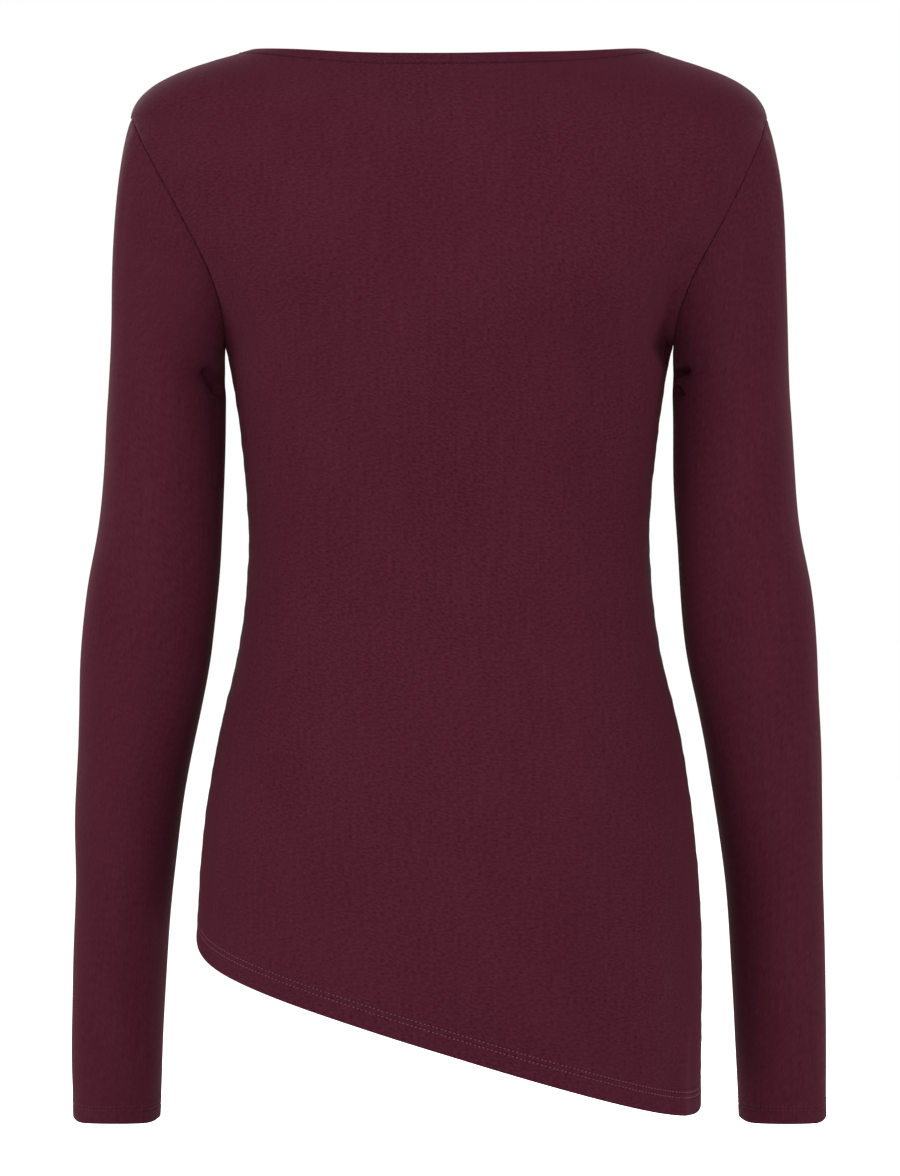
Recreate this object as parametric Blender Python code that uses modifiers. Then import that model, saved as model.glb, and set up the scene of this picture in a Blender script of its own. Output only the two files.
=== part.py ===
"""A long-sleeved jersey top with a boat neck and a slanting hem, filled out as it is worn.

Four cut pieces are modelled as cloth walls: a back, a front and two sleeves. They stand
0.3 mm apart along the shoulder, side and armhole seams. Neck, hem and cuffs are open.

The frame is in metres. +Z is up, +Y is the wearer's front and +X the wearer's right. The
origin lies midway between the shoulders, where the wearer carries the top.
"""

import functools
import math
from collections import namedtuple

import bmesh
import bpy
from mathutils import Vector

# Cloth
WALL = 0.0012
SEAM_GAP = 0.0003
CLOTH_COLOUR = (0.085, 0.014, 0.028, 1.0)
CLOTH_ROUGHNESS = 0.85

# Level cuts through the body of the top, from the shoulder tips down. Half width is at the
# side seam, side is where that seam lies, and back and front are the cloth at the middle.
BodyCut = namedtuple("BodyCut", "height half_width side back front")
BODY_CUTS = (
    BodyCut(-0.0248, 0.2030, -0.006, -0.080, 0.056),
    BodyCut(-0.0450, 0.2056, -0.005, -0.090, 0.066),
    BodyCut(-0.0700, 0.2010, -0.004, -0.098, 0.080),
    BodyCut(-0.0980, 0.1880, -0.002, -0.103, 0.096),
    BodyCut(-0.1300, 0.1660, 0.000, -0.105, 0.112),
    BodyCut(-0.1550, 0.1500, 0.002, -0.103, 0.121),
    BodyCut(-0.1720, 0.1428, 0.003, -0.101, 0.125),
    BodyCut(-0.2104, 0.1356, 0.003, -0.094, 0.127),
    BodyCut(-0.2680, 0.1292, 0.002, -0.084, 0.110),
    BodyCut(-0.3064, 0.1283, 0.001, -0.081, 0.101),
    BodyCut(-0.3640, 0.1347, 0.000, -0.088, 0.098),
    BodyCut(-0.4216, 0.1480, 0.000, -0.103, 0.102),
    BodyCut(-0.4790, 0.1566, 0.000, -0.115, 0.107),
    BodyCut(-0.5560, 0.1613, 0.000, -0.119, 0.110),
    BodyCut(-0.6700, 0.1608, 0.000, -0.113, 0.107),
)
FULLNESS = {"back": 0.62, "front": 0.60}  # 0.552 would make each quarter of a cut an ellipse

# Neck edge and shoulder seams
NECK_HALF_WIDTH = 0.126
NECK_CORNER_HEIGHT = 0.0190
NECK_MIDDLE_Y = {"back": -0.062, "front": 0.051}
NECK_DROP = {"back": 0.0082, "front": 0.0335}
SHOULDER_RISE = 0.0684  # how far the shoulder seam climbs before it turns inwards
# How the cloth arrives at the neck edge: at its corner, and at its middle
CORNER_PULL = Vector((-0.0375, 0.0, 0.0104))
MIDDLE_PULL = {"back": Vector((0.0, 0.005, 0.0115)), "front": Vector((0.0, -0.0017, 0.0034))}

# Armhole, seen from the side
ARMHOLE_TOP = BODY_CUTS[0].height
ARMHOLE_BOTTOM = -0.1700
ARMHOLE_REACH = {"back": {-1: 0.0545, 1: 0.0490}, "front": {-1: 0.0460, 1: 0.0460}}
ARMHOLE_LEAN = 0.15  # how much wider the armhole is below its middle than above

# Hem: a slanting cut, shorter at the wearer's left and turning up at both sides
HEM_MIDDLE_HEIGHT = -0.6118
HEM_SLOPE = -0.309
HEM_SIDE_RISE = {-1: 0.0152, 1: 0.0080}

# Level cuts through the right sleeve, from just under the arm to the cuff
SleeveCut = namedtuple("SleeveCut", "height outer inner middle half_depth")
SLEEVE_CUTS = (
    SleeveCut(-0.2050, 0.2183, 0.1428, 0.004, 0.0470),
    SleeveCut(-0.2488, 0.2212, 0.1438, 0.002, 0.0462),
    SleeveCut(-0.2872, 0.2247, 0.1455, 0.000, 0.0455),
    SleeveCut(-0.3256, 0.2313, 0.1474, -0.001, 0.0452),
    SleeveCut(-0.3640, 0.2356, 0.1519, 0.001, 0.0445),
    SleeveCut(-0.4024, 0.2373, 0.1594, 0.004, 0.0430),
    SleeveCut(-0.4408, 0.2386, 0.1667, 0.008, 0.0410),
    SleeveCut(-0.4792, 0.2402, 0.1733, 0.012, 0.0385),
    SleeveCut(-0.5176, 0.2407, 0.1780, 0.017, 0.0360),
    SleeveCut(-0.5752, 0.2427, 0.1824, 0.024, 0.0330),
    SleeveCut(-0.6328, 0.2441, 0.1858, 0.031, 0.0312),
    SleeveCut(-0.6703, 0.2440, 0.1874, 0.035, 0.0305),
)
CUFF_TILT = -0.07  # slope of the cuff edge, which falls towards the wearer's front
CUFF_SIDE_RISE = 0.0035  # how far the cuff edge turns up at its two sides
# How far the sleeve turns off the body at its seam: over the shoulder, and under the arm
SLEEVE_FOLD_TOP = math.radians(16)
SLEEVE_FOLD_UNDER = math.radians(165)
# How far it keeps that direction before it hangs, in the same two places
SLEEVE_PULL_TOP = 0.47
SLEEVE_PULL_UNDER = 0.80

# Soft troughs and ridges, each along a line. Height is how far it lifts the cloth.
# Start and end are seen from the front or the back, as (x, z).
Fold = namedtuple("Fold", "piece start end width height")
FOLDS = (
    Fold("back", (0.1440, -0.118), (0.1300, -0.170), 0.009, -0.0028),
    Fold("back", (-0.1440, -0.122), (-0.1310, -0.168), 0.009, -0.0016),
    Fold("front", (0.1360, -0.108), (0.1270, -0.158), 0.010, -0.0020),
    Fold("front", (-0.1360, -0.112), (-0.1270, -0.162), 0.010, -0.0024),
    Fold("left_sleeve", (-0.1500, -0.193), (-0.1580, -0.188), 0.006, -0.0026),
    Fold("right_sleeve", (0.1490, -0.188), (0.1570, -0.185), 0.006, -0.0026),
)

# Mesh divisions
HALF_COLUMNS = 12
COLUMN_CROWDING = 1.5  # 1 would space the columns evenly, more sets them closer to the seams
BODY_ROWS = 16
ARMHOLE_ROWS = 12
SHOULDER_ROWS = 5
SLEEVE_SIDES = 2 * ARMHOLE_ROWS
SLEEVE_HEAD_ROWS = 8
SLEEVE_DROP_ROWS = 14
SMALL_STEP = 1e-4
SEAM_STEP = 0.003
CLOSING_DISTANCE = 1e-6


def read_cuts(cuts, column, height):
    """The value of a column at a height, on a smooth curve through the rows of a table."""
    rows = [(-cut.height, getattr(cut, column)) for cut in cuts]
    x = min(max(-height, rows[0][0]), rows[-1][0])
    i = 0
    while i < len(rows) - 2 and x > rows[i + 1][0]:
        i += 1

    def slope(j):
        before = rows[max(j - 1, 0)]
        after = rows[min(j + 1, len(rows) - 1)]
        return (after[1] - before[1]) / (after[0] - before[0])

    (x0, y0), (x1, y1) = rows[i], rows[i + 1]
    width = x1 - x0
    t = (x - x0) / width
    value = y0 * (1 + 2 * t) * (1 - t) ** 2 + y1 * t * t * (3 - 2 * t)
    return value + width * (slope(i) * t * (1 - t) ** 2 - slope(i + 1) * t * t * (1 - t))


def bezier(p0, p1, p2, p3, t):
    u = 1 - t
    return p0 * u**3 + p1 * (3 * u * u * t) + p2 * (3 * u * t * t) + p3 * t**3


def body_point(face, side, share, height):
    """A point of the body form. Share runs from 0 at the middle to 1 at the side seam."""
    half_width = read_cuts(BODY_CUTS, "half_width", height)
    edge = read_cuts(BODY_CUTS, "side", height)
    middle = read_cuts(BODY_CUTS, face, height)
    full = FULLNESS[face]
    x = bezier(0.0, full * half_width, half_width, half_width, share)
    y = bezier(middle, middle, edge + full * (middle - edge), edge, share)
    return Vector((side * x, y, height))


def body_normal(face, side, share, height):
    """The direction out of the body form."""
    share = min(max(share, SMALL_STEP), 1 - SMALL_STEP)
    across = body_point(face, side, share + SMALL_STEP, height)
    across -= body_point(face, side, share - SMALL_STEP, height)
    up = body_point(face, side, share, height + SMALL_STEP)
    up -= body_point(face, side, share, height - SMALL_STEP)
    turn = side if face == "back" else -side
    return across.cross(up).normalized() * turn


@functools.lru_cache(maxsize=None)
def armhole_edge(face, side, around):
    """(share, height) of the armhole seam. Around is 0 at the shoulder and 1 under the arm."""
    around = min(max(around, 0.0), 1.0)
    angle = (math.pi * around + math.acos(1 - 2 * around)) / 2
    middle = (ARMHOLE_TOP + ARMHOLE_BOTTOM) / 2
    reach = (ARMHOLE_TOP - ARMHOLE_BOTTOM) / 2
    height = middle + reach * math.cos(angle)
    away = -1 if face == "back" else 1
    bulge = math.sin(angle) * (1 - ARMHOLE_LEAN * math.cos(angle))
    depth = read_cuts(BODY_CUTS, "side", height) + away * ARMHOLE_REACH[face][side] * bulge
    low, high = 0.0, 1.0
    while high - low > SMALL_STEP**2:
        share = (low + high) / 2
        if away * (body_point(face, 1, share, height).y - depth) > 0:
            low = share
        else:
            high = share
    return high, height


def neck_point(face, side, across):
    """A point of the neck edge. Across runs from 0 at the middle to 1 at the shoulder seam."""
    turn = across * math.pi / 2
    corner_y = BODY_CUTS[0].side
    x = side * NECK_HALF_WIDTH * math.sin(turn)
    y = corner_y + (NECK_MIDDLE_Y[face] - corner_y) * math.cos(turn)
    return Vector((x, y, NECK_CORNER_HEIGHT - NECK_DROP[face] * math.cos(turn) ** 2))


def shoulder_point(face, side, across, rise):
    """A point between the row at the shoulder tips, rise 0, and the neck edge, rise 1."""
    start = body_point(face, side, across, ARMHOLE_TOP)
    up = (start - body_point(face, side, across, ARMHOLE_TOP - SMALL_STEP)) / SMALL_STEP
    end = neck_point(face, side, across)
    blend = across * across * (3 - 2 * across)
    climb = (1 - blend) * (end.z - start.z) + blend * SHOULDER_RISE
    corner = Vector((side * CORNER_PULL.x, CORNER_PULL.y, CORNER_PULL.z))
    pull = MIDDLE_PULL[face] * (1 - blend) + corner * blend
    return bezier(start, start + up * (climb / 3), end - pull, end, rise)


def hem_height(face, side, share):
    x = body_point(face, side, share, HEM_MIDDLE_HEIGHT).x
    return HEM_MIDDLE_HEIGHT + HEM_SLOPE * x + HEM_SIDE_RISE[side] * share**5


def panel_point(face, side, across, row):
    """A point of a panel. Across is 0 at the middle and 1 at the seams, row 0 is the hem."""
    if row < BODY_ROWS:
        hem = hem_height(face, side, across)
        return body_point(face, side, across, hem + (ARMHOLE_BOTTOM - hem) * row / BODY_ROWS)
    row -= BODY_ROWS
    if row < ARMHOLE_ROWS:
        edge_share, height = armhole_edge(face, side, 1 - row / ARMHOLE_ROWS)
        return body_point(face, side, across * edge_share, height)
    return shoulder_point(face, side, across, (row - ARMHOLE_ROWS) / SHOULDER_ROWS)


def trimmed(face, side, across, row):
    """Across, kept half the seam gap inside the seam line."""
    step = panel_point(face, side, 1.0, row) - panel_point(face, side, 1 - SMALL_STEP, row)
    return min(across, 1 - SEAM_GAP / 2 * SMALL_STEP / step.length)


def sleeve_cut_point(side, angle, height):
    """A point of the hanging sleeve. Angle is 0 outside, pi/2 behind and pi at the body."""
    outer = read_cuts(SLEEVE_CUTS, "outer", height)
    inner = read_cuts(SLEEVE_CUTS, "inner", height)
    middle = read_cuts(SLEEVE_CUTS, "middle", height)
    half_depth = read_cuts(SLEEVE_CUTS, "half_depth", height)
    x = (outer + inner) / 2 + (outer - inner) / 2 * math.cos(angle)
    forward = -half_depth * math.sin(angle)
    top, cuff = SLEEVE_CUTS[0].height, SLEEVE_CUTS[-1].height
    down = (top - height) / (top - cuff)
    lift = CUFF_TILT * down * forward + CUFF_SIDE_RISE * down**8 * math.cos(angle) ** 10
    return Vector((side * x, middle + forward, height + lift))


@functools.lru_cache(maxsize=None)
def sleeve_head_curve(side, angle):
    """The four control points of the cloth from the armhole seam down to the first cut."""
    face = "back" if angle <= math.pi else "front"
    around = min(angle, 2 * math.pi - angle) / math.pi
    share, height = armhole_edge(face, side, around)
    seam = body_point(face, side, share, height)
    normal = body_normal(face, side, share, height)
    before, after = (armhole_edge(face, side, around + step) for step in (-SEAM_STEP, SEAM_STEP))
    along = body_point(face, side, *after) - body_point(face, side, *before)
    away = normal.cross(along).normalized() * (side if face == "back" else -side)
    fold = SLEEVE_FOLD_TOP + (SLEEVE_FOLD_UNDER - SLEEVE_FOLD_TOP) * around**3
    start = seam + away * (SEAM_GAP * (1 - math.sin(math.pi * around) / 2))
    start += normal * (SEAM_GAP * math.sin(fold / 2))
    lead = away * math.cos(fold) + normal * math.sin(fold)
    top = SLEEVE_CUTS[0].height
    end = sleeve_cut_point(side, angle, top)
    fall = (end - sleeve_cut_point(side, angle, top - SMALL_STEP)).normalized()
    pull = SLEEVE_PULL_TOP + (SLEEVE_PULL_UNDER - SLEEVE_PULL_TOP) * around
    reach = (end - start).length / 3 * pull
    return start, start + lead * reach, end + fall * reach, end


def sleeve_point(side, angle, row):
    """A point of a sleeve. Row 0 is the armhole seam and the last row the cuff."""
    if row < SLEEVE_HEAD_ROWS:
        return bezier(*sleeve_head_curve(side, angle), row / SLEEVE_HEAD_ROWS)
    top, cuff = SLEEVE_CUTS[0].height, SLEEVE_CUTS[-1].height
    down = (row - SLEEVE_HEAD_ROWS) / SLEEVE_DROP_ROWS
    return sleeve_cut_point(side, angle, top + (cuff - top) * down)


def fold_height(piece, point):
    """How far the folds of a piece lift a point off its plain form."""
    total = 0.0
    for fold in FOLDS:
        if fold.piece == piece:
            start, along = Vector(fold.start), Vector(fold.end) - Vector(fold.start)
            place = point.xz - start
            share = min(max(place.dot(along) / along.length_squared, 0), 1)
            distance = (place - along * share).length
            total += fold.height * math.exp(-((distance / fold.width) ** 2))
    return total


def cloth_wall(name, across, down, form):
    """A piece of cloth: a grid laid on a form, creased by its folds and made a wall inwards."""
    columns, rows = len(across) - 1, len(down) - 1
    bm = bmesh.new()
    bmesh.ops.create_grid(bm, x_segments=columns, y_segments=rows, size=1.0)
    for vertex in bm.verts:
        column = round((vertex.co.x + 1) / 2 * columns)
        row = round((vertex.co.y + 1) / 2 * rows)
        vertex.co = form(across[column], down[row])
    bmesh.ops.remove_doubles(bm, verts=bm.verts, dist=CLOSING_DISTANCE)
    bm.normal_update()
    for vertex in bm.verts:
        if not vertex.is_boundary:
            vertex.co += vertex.normal * fold_height(name, vertex.co)
    mesh = bpy.data.meshes.new(name)
    bm.to_mesh(mesh)
    bm.free()
    mesh.shade_smooth()
    mesh.materials.append(cloth_material(name))
    piece = bpy.data.objects.new(name, mesh)
    wall = piece.modifiers.new("Wall", "SOLIDIFY")
    wall.thickness = WALL
    wall.offset = -1.0
    return piece


def panel(face):
    """The back or the front. Its grid turns with the face, so that it faces out."""
    half = [1 - (1 - i / HALF_COLUMNS) ** COLUMN_CROWDING for i in range(HALF_COLUMNS + 1)]
    across = [-share for share in reversed(half[1:])] + half
    if face == "front":
        across.reverse()
    rows = list(range(BODY_ROWS + ARMHOLE_ROWS + SHOULDER_ROWS + 1))

    def form(place, row):
        side = -1 if place < 0 else 1
        return panel_point(face, side, trimmed(face, side, abs(place), row), row)

    return cloth_wall(face, across, rows, form)


def sleeve(name, side):
    """A sleeve, closed at its outer line. Its grid turns with the side, so that it faces out."""
    angles = [2 * math.pi * i / SLEEVE_SIDES for i in range(SLEEVE_SIDES)] + [0.0]
    if side < 0:
        angles.reverse()
    rows = list(range(SLEEVE_HEAD_ROWS + SLEEVE_DROP_ROWS + 1))
    return cloth_wall(name, angles, rows, lambda angle, row: sleeve_point(side, angle, row))


def cloth_material(name):
    material = bpy.data.materials.new(name)
    material.use_nodes = True
    shader = material.node_tree.nodes["Principled BSDF"]
    shader.inputs["Base Color"].default_value = CLOTH_COLOUR
    shader.inputs["Roughness"].default_value = CLOTH_ROUGHNESS
    shader.inputs["Metallic"].default_value = 0.0
    return material


def build():
    for old in list(bpy.data.objects):
        bpy.data.objects.remove(old)
    top = bpy.data.collections.new("asymmetric_top")
    bpy.context.scene.collection.children.link(top)
    for face in ("back", "front"):
        top.objects.link(panel(face))
    top.objects.link(sleeve("left_sleeve", -1))
    top.objects.link(sleeve("right_sleeve", 1))


build()
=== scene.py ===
"""The looks of the long-sleeved jersey top with a slanting hem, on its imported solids.

Each panel and sleeve is a fine shell of cloth on the form of its solid, with turned and
stitched edges, seams drawn in, and soft folds. Metres, +Z up, +Y to the wearer's front.
"""

import math
from collections import namedtuple

import bpy
import numpy as np
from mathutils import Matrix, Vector


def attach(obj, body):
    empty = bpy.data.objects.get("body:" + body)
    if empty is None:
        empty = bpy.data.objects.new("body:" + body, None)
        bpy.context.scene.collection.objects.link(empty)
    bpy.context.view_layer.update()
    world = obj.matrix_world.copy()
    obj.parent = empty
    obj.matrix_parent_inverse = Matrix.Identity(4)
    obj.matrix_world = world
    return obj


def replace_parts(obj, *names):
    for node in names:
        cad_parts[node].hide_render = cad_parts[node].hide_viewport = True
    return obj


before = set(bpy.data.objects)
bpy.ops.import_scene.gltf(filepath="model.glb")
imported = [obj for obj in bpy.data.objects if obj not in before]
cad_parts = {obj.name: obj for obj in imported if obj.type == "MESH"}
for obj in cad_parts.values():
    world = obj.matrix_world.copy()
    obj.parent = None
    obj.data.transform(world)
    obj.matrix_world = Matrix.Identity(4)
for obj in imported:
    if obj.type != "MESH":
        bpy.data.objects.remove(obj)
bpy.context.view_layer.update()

# The form, as in the part's source, but for a wall that is 0.1 mm thinner
WALL = 0.0011
SEAM_GAP = 0.0003

BodyCut = namedtuple("BodyCut", "height half_width side back front")
BODY_CUTS = (
    BodyCut(-0.0248, 0.2030, -0.006, -0.080, 0.056),
    BodyCut(-0.0450, 0.2056, -0.005, -0.090, 0.066),
    BodyCut(-0.0700, 0.2010, -0.004, -0.098, 0.080),
    BodyCut(-0.0980, 0.1880, -0.002, -0.103, 0.096),
    BodyCut(-0.1300, 0.1660, 0.000, -0.105, 0.112),
    BodyCut(-0.1550, 0.1500, 0.002, -0.103, 0.121),
    BodyCut(-0.1720, 0.1428, 0.003, -0.101, 0.125),
    BodyCut(-0.2104, 0.1356, 0.003, -0.094, 0.127),
    BodyCut(-0.2680, 0.1292, 0.002, -0.084, 0.110),
    BodyCut(-0.3064, 0.1283, 0.001, -0.081, 0.101),
    BodyCut(-0.3640, 0.1347, 0.000, -0.088, 0.098),
    BodyCut(-0.4216, 0.1480, 0.000, -0.103, 0.102),
    BodyCut(-0.4790, 0.1566, 0.000, -0.115, 0.107),
    BodyCut(-0.5560, 0.1613, 0.000, -0.119, 0.110),
    BodyCut(-0.6700, 0.1608, 0.000, -0.113, 0.107),
)
FULLNESS = {"back": 0.62, "front": 0.60}
NECK_HALF_WIDTH = 0.126
NECK_CORNER_HEIGHT = 0.0190
NECK_MIDDLE_Y = {"back": -0.062, "front": 0.051}
NECK_DROP = {"back": 0.0082, "front": 0.0335}
SHOULDER_RISE = 0.0684
CORNER_PULL = (-0.0375, 0.0, 0.0104)
MIDDLE_PULL = {"back": (0.0, 0.005, 0.0115), "front": (0.0, -0.0017, 0.0034)}
ARMHOLE_TOP = BODY_CUTS[0].height
ARMHOLE_BOTTOM = -0.1700
ARMHOLE_REACH = {"back": {-1: 0.0545, 1: 0.0490}, "front": {-1: 0.0460, 1: 0.0460}}
ARMHOLE_LEAN = 0.15
HEM_MIDDLE_HEIGHT = -0.6118
HEM_SLOPE = -0.309
HEM_SIDE_RISE = {-1: 0.0152, 1: 0.0080}
HEM_SIDE_POWER = 5  # the higher, the nearer to the side seam the hem turns up

SleeveCut = namedtuple("SleeveCut", "height outer inner middle half_depth")
SLEEVE_CUTS = (
    SleeveCut(-0.2050, 0.2183, 0.1428, 0.004, 0.0470),
    SleeveCut(-0.2488, 0.2212, 0.1438, 0.002, 0.0462),
    SleeveCut(-0.2872, 0.2247, 0.1455, 0.000, 0.0455),
    SleeveCut(-0.3256, 0.2313, 0.1474, -0.001, 0.0452),
    SleeveCut(-0.3640, 0.2356, 0.1519, 0.001, 0.0445),
    SleeveCut(-0.4024, 0.2373, 0.1594, 0.004, 0.0430),
    SleeveCut(-0.4408, 0.2386, 0.1667, 0.008, 0.0410),
    SleeveCut(-0.4792, 0.2402, 0.1733, 0.012, 0.0385),
    SleeveCut(-0.5176, 0.2407, 0.1780, 0.017, 0.0360),
    SleeveCut(-0.5752, 0.2427, 0.1824, 0.024, 0.0330),
    SleeveCut(-0.6328, 0.2441, 0.1858, 0.031, 0.0312),
    SleeveCut(-0.6703, 0.2440, 0.1874, 0.035, 0.0305),
)
CUFF_TILT = -0.07
CUFF_SIDE_RISE = 0.0035
CUFF_RISE_DOWN_POWER = 8
CUFF_RISE_AROUND_POWER = 10
SLEEVE_FOLD_TOP = math.radians(16)
SLEEVE_FOLD_UNDER = math.radians(165)
SLEEVE_FOLD_POWER = 3
SLEEVE_PULL_TOP = 0.47
SLEEVE_PULL_UNDER = 0.80
BODY_ROWS = 16
ARMHOLE_ROWS = 12
SHOULDER_ROWS = 5
SMALL_STEP = 1e-4
SEAM_STEP = 0.003
SHORTEST = 1e-12

# Soft troughs and ridges along lines, as (x, z). Behind is -1 for the side away from the
# wearer's front, 1 for the front side and 0 for both.
Fold = namedtuple("Fold", "piece behind start end width height")
FOLDS = (
    Fold("back", 0, (0.1460, -0.120), (0.1330, -0.172), 0.0100, -0.0048),
    Fold("back", 0, (-0.1440, -0.122), (-0.1310, -0.168), 0.0090, -0.0020),
    Fold("back", 0, (0.1475, -0.1450), (0.1385, -0.1740), 0.0060, -0.0038),
    Fold("back", 0, (-0.1790, -0.0600), (-0.1680, -0.0890), 0.0024, 0.0008),
    Fold("back", 0, (-0.1740, -0.0590), (-0.1630, -0.0880), 0.0032, -0.0008),
    Fold("back", 0, (0.1275, -0.2540), (0.1180, -0.2620), 0.0024, -0.0010),
    Fold("back", 0, (-0.1130, -0.2900), (-0.0700, -0.3050), 0.0110, -0.0007),
    Fold("back", 0, (0.1120, -0.3020), (0.0660, -0.3190), 0.0120, -0.0008),
    Fold("back", 0, (0.0950, -0.3500), (0.0300, -0.3640), 0.0150, -0.0006),
    Fold("back", 0, (0.1478, -0.6050), (0.1462, -0.6600), 0.0038, 0.0019),
    Fold("back", 0, (0.1400, -0.6150), (0.1390, -0.6600), 0.0040, -0.0011),
    Fold("front", 0, (0.1360, -0.108), (0.1270, -0.158), 0.010, -0.0020),
    Fold("front", 0, (-0.1360, -0.112), (-0.1270, -0.162), 0.010, -0.0024),
    Fold("front", 0, (0.1180, -0.1900), (0.0700, -0.2050), 0.0090, -0.0010),
    Fold("front", 0, (-0.1180, -0.1880), (-0.0760, -0.2070), 0.0100, -0.0009),
    Fold("front", 0, (0.1110, -0.2920), (0.0640, -0.3080), 0.0110, -0.0008),
    Fold("front", 0, (-0.1110, -0.3000), (-0.0600, -0.3140), 0.0120, -0.0007),
    Fold("left_sleeve", 0, (-0.1500, -0.193), (-0.1580, -0.188), 0.006, -0.0016),
    Fold("left_sleeve", -1, (-0.1490, -0.1885), (-0.1440, -0.1995), 0.0042, -0.0080),
    Fold("left_sleeve", -1, (-0.1560, -0.1880), (-0.1500, -0.1890), 0.0030, -0.0016),
    Fold("left_sleeve", -1, (-0.1470, -0.2080), (-0.1462, -0.2580), 0.0028, -0.0020),
    Fold("left_sleeve", -1, (-0.1600, -0.3560), (-0.1760, -0.3500), 0.0060, -0.0007),
    Fold("left_sleeve", 1, (-0.1450, -0.1960), (-0.1560, -0.1900), 0.0024, -0.0009),
    Fold("left_sleeve", 1, (-0.1560, -0.3550), (-0.1850, -0.3480), 0.0050, -0.0014),
    Fold("left_sleeve", 1, (-0.1590, -0.3740), (-0.1920, -0.3690), 0.0055, -0.0011),
    Fold("right_sleeve", 0, (0.1490, -0.188), (0.1570, -0.185), 0.006, -0.0010),
    Fold("right_sleeve", -1, (0.1430, -0.1878), (0.1475, -0.1868), 0.0030, -0.0075),
    Fold("right_sleeve", -1, (0.1430, -0.1965), (0.1455, -0.2010), 0.0026, -0.0045),
    Fold("right_sleeve", -1, (0.1590, -0.3520), (0.1740, -0.3480), 0.0060, -0.0006),
    Fold("right_sleeve", 1, (0.1440, -0.1950), (0.1550, -0.1890), 0.0024, -0.0009),
    Fold("right_sleeve", 1, (0.1570, -0.3500), (0.1880, -0.3450), 0.0050, -0.0013),
    Fold("right_sleeve", 1, (0.1580, -0.3710), (0.1880, -0.3640), 0.0060, -0.0012),
)
# How far from the middle of a piece's depth a fold with a side reaches its full height
FOLD_TURN = 0.012

# Long soft waves of the hanging cloth. Across and down are how many there are to a metre.
Wave = namedtuple("Wave", "piece across down height start")
WAVES = (
    Wave("back", 9.0, 2.5, 0.00028, 0.4),
    Wave("back", -5.2, 6.1, 0.00030, 2.1),
    Wave("back", 14.5, -3.4, 0.00016, 4.0),
    Wave("front", 8.3, -2.9, 0.00028, 1.2),
    Wave("front", 5.6, 6.6, 0.00030, 3.3),
    Wave("front", -13.1, 3.0, 0.00016, 5.0),
    Wave("left_sleeve", 6.0, 7.5, 0.00030, 0.9),
    Wave("left_sleeve", -11.0, 12.5, 0.00018, 2.7),
    Wave("right_sleeve", -6.4, 8.1, 0.00030, 1.9),
    Wave("right_sleeve", 10.2, 11.6, 0.00018, 5.1),
)

# Turned edges. Lines are how far from the edge the stitch rows run, and turn is how far in
# the turned cloth reaches.
TurnedEdge = namedtuple("TurnedEdge", "lines turn groove pitch stitch_length thread_radius sink")
HEM = TurnedEdge((0.0113, 0.0146), 0.0162, 0.00055, 0.00270, 0.00150, 0.00034, 0.00010)
CUFF = TurnedEdge((0.0090, 0.0115), 0.0127, 0.00040, 0.00260, 0.00150, 0.00026, 0.00016)
NECK = TurnedEdge((0.0078,), 0.0088, 0.00085, 0.00230, 0.00145, 0.00052, 0.00022)
TURN_STEP = 0.0012
BAND_RISE = 0.00022
EDGE_ROLL = 0.0006
EDGE_ROLL_WIDTH = 0.0012
GROOVE_WIDTH = 0.00070
SEAM_ROLL = 0.00030
SEAM_ROLL_WIDTH = 0.0022
SEAM_CLEARANCE = 0.0050
PUCKER_HEIGHT = 0.00022
PUCKER_REACH = 0.0085
PUCKER_START = 0.004
Pucker = namedtuple("Pucker", "length strength turn")
PUCKERS = (Pucker(0.0021, 1.0, 1.0), Pucker(0.0034, 0.8, 2.3), Pucker(0.0061, 0.6, 0.7))
SHOULDER_PUCKER = 0.3
PUCKER_STARTS = {"first_edge": 0.6, "last_edge": 2.9, "armhole": 1.7}
SLEEVE_SEAM_DEPTH = 0.0005
SLEEVE_SEAM_WIDTH = 0.0008

# One stitch: its thread's places along it, from -1 to 1, and how thick it is there
ThreadRing = namedtuple("ThreadRing", "along swell")
STITCH_RINGS = (
    ThreadRing(-1.0, 0.45),
    ThreadRing(-0.62, 0.95),
    ThreadRing(0.0, 1.0),
    ThreadRing(0.62, 0.95),
    ThreadRing(1.0, 0.45),
)
STITCH_SIDES = 6
STITCH_END_FACES = ((0, 1, 2, 3), (0, 3, 4, 5))
STITCH_ARCH = 1.6
STITCH_DRIFT = 0.05
STITCH_DRIFT_TURN = 2.4

# Seam allowances inside
ALLOWANCE_WIDTH = 0.0055
ALLOWANCE_DEPTH = 0.0020
ALLOWANCE_WALL = 0.0006
ALLOWANCE_END = 0.0012
ALLOWANCE_NECK_ROWS = 2

# Mesh divisions
HALF_COLUMNS = 78
COLUMN_CROWDING = 1.35
EDGE_STEP = 0.00045
HEM_ZONE = 0.0190
HEM_ROW_SHARE = 5
BODY_STEP = 0.0038
ARMHOLE_DIVISIONS = 92
NECK_ZONE = 0.24
NECK_STEP = 0.012
SHOULDER_DIVISIONS = 20
NECK_ROW_COUNT = 50
SLEEVE_COLUMNS = 168
SLEEVE_CROWDING = 0.45
SLEEVE_HEAD_DIVISIONS = 54
SLEEVE_HEAD_CROWDING = 1.35
FINE_ZONE = 0.0680
FINE_STEP = 0.0016
SLEEVE_STEP = 0.0038
CUFF_ZONE = 0.0145
BISECTIONS = 44
FAR = 1.0

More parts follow.
